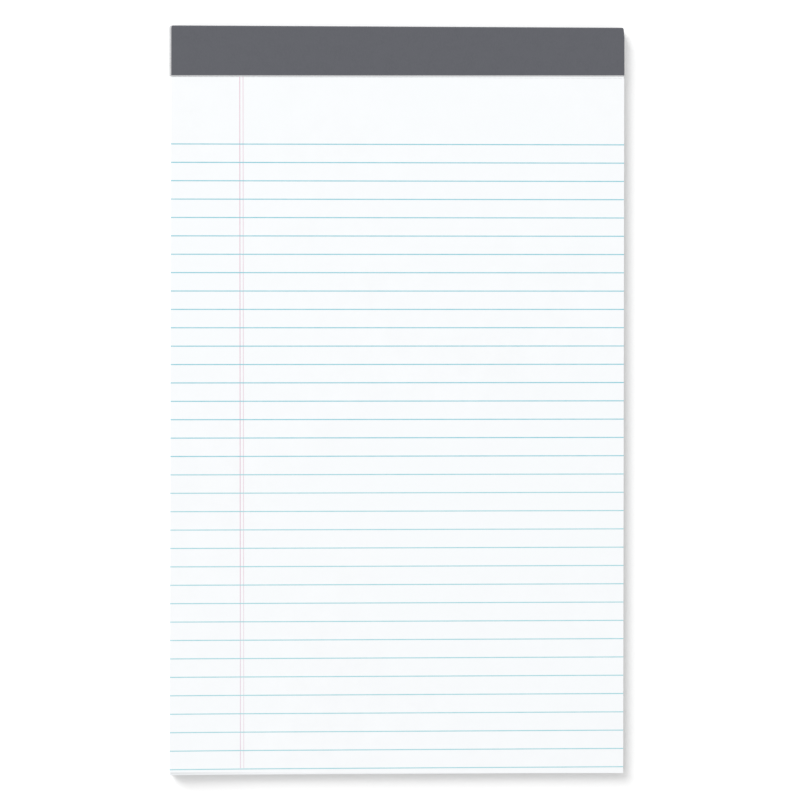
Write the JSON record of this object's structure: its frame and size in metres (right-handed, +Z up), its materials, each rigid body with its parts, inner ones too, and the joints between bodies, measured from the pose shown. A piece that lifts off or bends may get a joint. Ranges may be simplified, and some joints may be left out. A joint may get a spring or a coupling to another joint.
{
  "type": "legal pad",
  "caption": "Ruled writing pad of legal size with a folded dark grey tape over its stitched head, a chipboard back and a gently lifted lower left corner.",
  "frame": {"origin": "under the middle of the pad, on the surface that it lies on", "axes": "+Z up from the back to the top sheet, +Y along the pad towards the taped head, +X to the right"},
  "size_m": [0.2168, 0.3558, 0.0075],
  "materials": {
    "paper": "smooth uncoated white writing paper, faint fibre mottling",
    "chipboard": "grey recycled chipboard, matte and speckled",
    "binding_tape": "matte dark grey binding tape, faintly mottled",
    "stitching_wire": "galvanised stitching wire",
    "blue_ink": "pale blue printed ink on paper, matte",
    "pink_ink": "pale pink printed ink on paper, matte"
  },
  "bodies": {
    "root": {"page_block": "paper", "backing_board": "chipboard", "header_tape": "binding_tape", "staples": "stitching_wire", "blue_rules": "blue_ink", "margin_lines": "pink_ink"}
  },
  "joints": []
}
